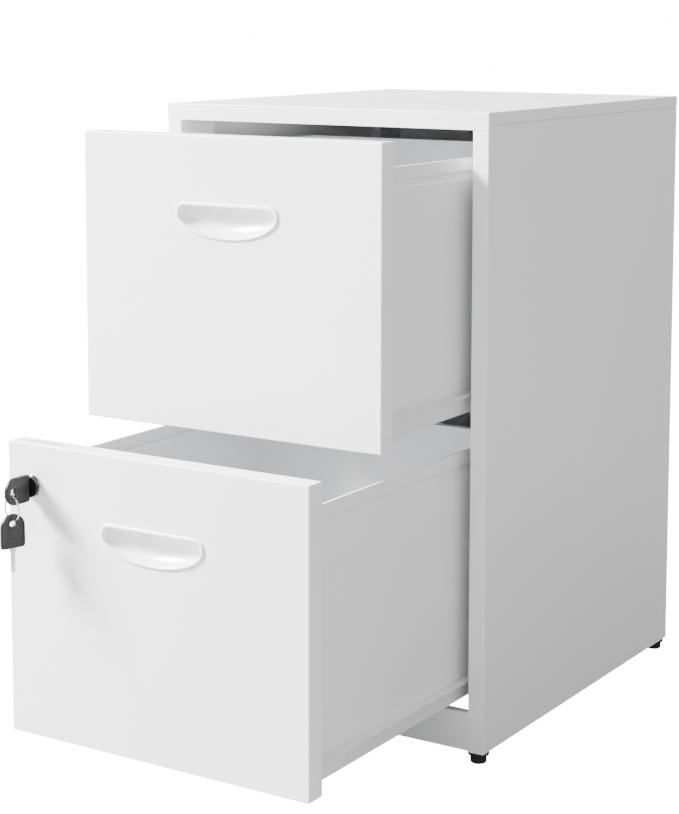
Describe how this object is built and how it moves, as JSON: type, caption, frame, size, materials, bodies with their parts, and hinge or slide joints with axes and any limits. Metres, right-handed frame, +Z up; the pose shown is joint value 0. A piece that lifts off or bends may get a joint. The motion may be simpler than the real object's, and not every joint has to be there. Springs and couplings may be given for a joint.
{
  "type": "two-drawer filing cabinet",
  "caption": "Upright white steel filing cabinet whose stacked drawers run on roller slides, with half-moon cup handles, a keyed bar lock and levelling feet.",
  "frame": {"origin": "on the floor under the middle of the whole object at rest, drawers part open and key in the lock", "axes": "+Z up, drawers open towards -Y, +X to the right of a person facing the front"},
  "size_m": [0.381, 0.7738, 0.642],
  "materials": {
    "powder_coat": "smooth satin white powder coat",
    "rail_coat": "epoxy coated rolled steel",
    "nylon": "moulded nylon",
    "handle_plastic": "moulded, semi-gloss",
    "foot_plastic": "moulded, matt",
    "zinc_steel": "bright zinc plate",
    "black_steel": "blackened steel",
    "lock_chrome": "polished",
    "lock_face": "moulded, semi-gloss black",
    "key_plastic": "moulded, satin",
    "key_steel": "nickel plated",
    "ring_steel": "bright wire"
  },
  "bodies": {
    "cabinet": {"top_panel": "powder_coat", "left_side_panel": "powder_coat", "right_side_panel": "powder_coat", "back_panel": "powder_coat", "back_screws": "zinc_steel", "left_front_post": "powder_coat", "right_front_post": "powder_coat", "left_rear_post": "powder_coat", "right_rear_post": "powder_coat", "bottom_front_rail": "powder_coat", "bottom_rear_rail": "powder_coat", "foot_nuts": "zinc_steel", "slide_rivets": "zinc_steel", "lock_keeper": "zinc_steel", "upper_left_channel": "rail_coat", "upper_right_channel": "rail_coat", "lower_left_channel": "rail_coat", "lower_right_channel": "rail_coat"},
    "upper_drawer": {"upper_front_shell": "powder_coat", "upper_front_liner": "powder_coat", "upper_handle": "handle_plastic", "upper_front_screws": "powder_coat", "upper_drawer_left_side": "powder_coat", "upper_drawer_right_side": "powder_coat", "upper_drawer_bottom": "powder_coat", "upper_drawer_back": "powder_coat", "upper_left_runner": "rail_coat", "upper_right_runner": "rail_coat"},
    "lower_drawer": {"lower_front_shell": "powder_coat", "lower_front_liner": "powder_coat", "lower_handle": "handle_plastic", "lower_front_screws": "powder_coat", "lower_drawer_left_side": "powder_coat", "lower_drawer_right_side": "powder_coat", "lower_drawer_bottom": "powder_coat", "lower_drawer_back": "powder_coat", "lower_left_runner": "rail_coat", "lower_right_runner": "rail_coat", "lock_housing": "lock_chrome", "lock_nut": "zinc_steel"},
    "lock": {"lock_plug": "lock_face", "key_bow": "key_plastic", "key_blade": "key_steel"},
    "lock_bar": {"lock_bar": "black_steel"},
    "key_ring": {"key_ring": "ring_steel"},
    "spare_key": {"spare_key_bow": "key_plastic", "spare_key_blade": "key_steel"},
    "upper_left_channel_roller": {"upper_left_channel_roller": "nylon"},
    "upper_left_runner_roller": {"upper_left_runner_roller": "nylon"},
    "upper_right_channel_roller": {"upper_right_channel_roller": "nylon"},
    "upper_right_runner_roller": {"upper_right_runner_roller": "nylon"},
    "lower_left_channel_roller": {"lower_left_channel_roller": "nylon"},
    "lower_left_runner_roller": {"lower_left_runner_roller": "nylon"},
    "lower_right_channel_roller": {"lower_right_channel_roller": "nylon"},
    "lower_right_runner_roller": {"lower_right_runner_roller": "nylon"},
    "foot_front_left": {"foot_front_left": "foot_plastic"},
    "foot_front_right": {"foot_front_right": "foot_plastic"},
    "foot_rear_left": {"foot_rear_left": "foot_plastic"},
    "foot_rear_right": {"foot_rear_right": "foot_plastic"}
  },
  "joints": [
    {"name": "upper_drawer_slide", "type": "slide", "parent": "cabinet", "child": "upper_drawer", "axis": [0, -1, 0], "range_m": [-0.1621, 0.1739]},
    {"name": "lower_drawer_slide", "type": "slide", "parent": "cabinet", "child": "lower_drawer", "axis": [0, -1, 0], "range_m": [-0.2805, 0.0555]},
    {"name": "upper_left_channel_roller_spin", "type": "hinge", "parent": "cabinet", "child": "upper_left_channel_roller", "pos_m": [-0.16705, -0.03431, 0.3587], "axis": [1, 0, 0], "continuous": true},
    {"name": "upper_left_runner_roller_spin", "type": "hinge", "parent": "upper_drawer", "child": "upper_left_runner_roller", "pos_m": [-0.16605, 0.15759, 0.3584], "axis": [1, 0, 0], "continuous": true},
    {"name": "upper_right_channel_roller_spin", "type": "hinge", "parent": "cabinet", "child": "upper_right_channel_roller", "pos_m": [0.16705, -0.03431, 0.3587], "axis": [1, 0, 0], "continuous": true},
    {"name": "upper_right_runner_roller_spin", "type": "hinge", "parent": "upper_drawer", "child": "upper_right_runner_roller", "pos_m": [0.16605, 0.15759, 0.3584], "axis": [1, 0, 0], "continuous": true},
    {"name": "lower_left_channel_roller_spin", "type": "hinge", "parent": "cabinet", "child": "lower_left_channel_roller", "pos_m": [-0.16705, -0.03431, 0.0723], "axis": [1, 0, 0], "continuous": true},
    {"name": "lower_left_runner_roller_spin", "type": "hinge", "parent": "lower_drawer", "child": "lower_left_runner_roller", "pos_m": [-0.16605, 0.03919, 0.072], "axis": [1, 0, 0], "continuous": true},
    {"name": "lower_right_channel_roller_spin", "type": "hinge", "parent": "cabinet", "child": "lower_right_channel_roller", "pos_m": [0.16705, -0.03431, 0.0723], "axis": [1, 0, 0], "continuous": true},
    {"name": "lower_right_runner_roller_spin", "type": "hinge", "parent": "lower_drawer", "child": "lower_right_runner_roller", "pos_m": [0.16605, 0.03919, 0.072], "axis": [1, 0, 0], "continuous": true},
    {"name": "foot_front_left_turn", "type": "hinge", "parent": "cabinet", "child": "foot_front_left", "pos_m": [-0.1795, -0.05381, 0.012], "axis": [0, 0, 1], "continuous": true},
    {"name": "foot_front_right_turn", "type": "hinge", "parent": "cabinet", "child": "foot_front_right", "pos_m": [0.1795, -0.05381, 0.012], "axis": [0, 0, 1], "continuous": true},
    {"name": "foot_rear_left_turn", "type": "hinge", "parent": "cabinet", "child": "foot_rear_left", "pos_m": [-0.1795, 0.37519, 0.012], "axis": [0, 0, 1], "continuous": true},
    {"name": "foot_rear_right_turn", "type": "hinge", "parent": "cabinet", "child": "foot_rear_right", "pos_m": [0.1795, 0.37519, 0.012], "axis": [0, 0, 1], "continuous": true},
    {"name": "lock_turn", "type": "hinge", "parent": "lower_drawer", "child": "lock", "pos_m": [-0.1399, -0.34481, 0.295], "axis": [0, -1, 0], "range_deg": [0, 90]},
    {"name": "lock_bar_slide", "type": "slide", "parent": "lower_drawer", "child": "lock_bar", "axis": [0, 0, 1], "range_m": [0, 0.01415]},
    {"name": "key_ring_swing", "type": "hinge", "parent": "lock", "child": "key_ring", "pos_m": [-0.1399, -0.37401, 0.29065], "axis": [0.9659, -0.2588, 0], "range_deg": [-45, 15]},
    {"name": "spare_key_swing", "type": "hinge", "parent": "key_ring", "child": "spare_key", "pos_m": [-0.1399, -0.37401, 0.26805], "axis": [0.9659, -0.2588, 0], "range_deg": [-45, 12]}
  ],
  "couplings": [
    {"joint": "lock_bar_slide", "follows": "lock_turn", "m_per_rad": 0.0090032}
  ]
}
